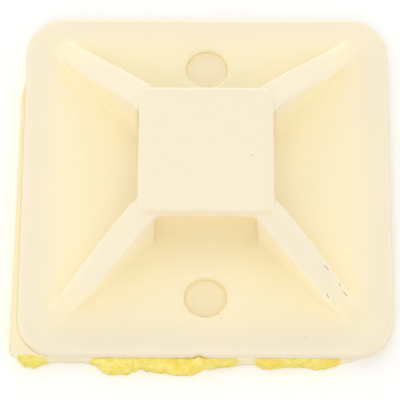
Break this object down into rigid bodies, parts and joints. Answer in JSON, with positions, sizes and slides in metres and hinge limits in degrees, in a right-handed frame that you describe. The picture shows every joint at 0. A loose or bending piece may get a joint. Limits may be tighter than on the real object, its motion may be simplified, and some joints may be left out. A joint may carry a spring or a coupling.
{
  "type": "cable tie mount",
  "caption": "Square self-adhesive cable tie mount: a nylon base with a pad raised on diagonal ribs, open on every side, with screw holes and a torn foam tape beneath.",
  "frame": {"origin": "centre of the base plate, on the underside of the foam tape, which is the face that sticks to a panel", "axes": "+Z out of the panel, through the raised pad; the screw holes lie along Y; -Y is the torn edge of the tape"},
  "size_m": [0.0285, 0.029, 0.0081],
  "materials": {
    "nylon": "moulded natural nylon, slightly yellowed, soft satin",
    "foam": "torn open-cell foam, matt"
  },
  "bodies": {
    "root": {"mount_body": "nylon", "foam_tape": "foam"}
  },
  "joints": []
}
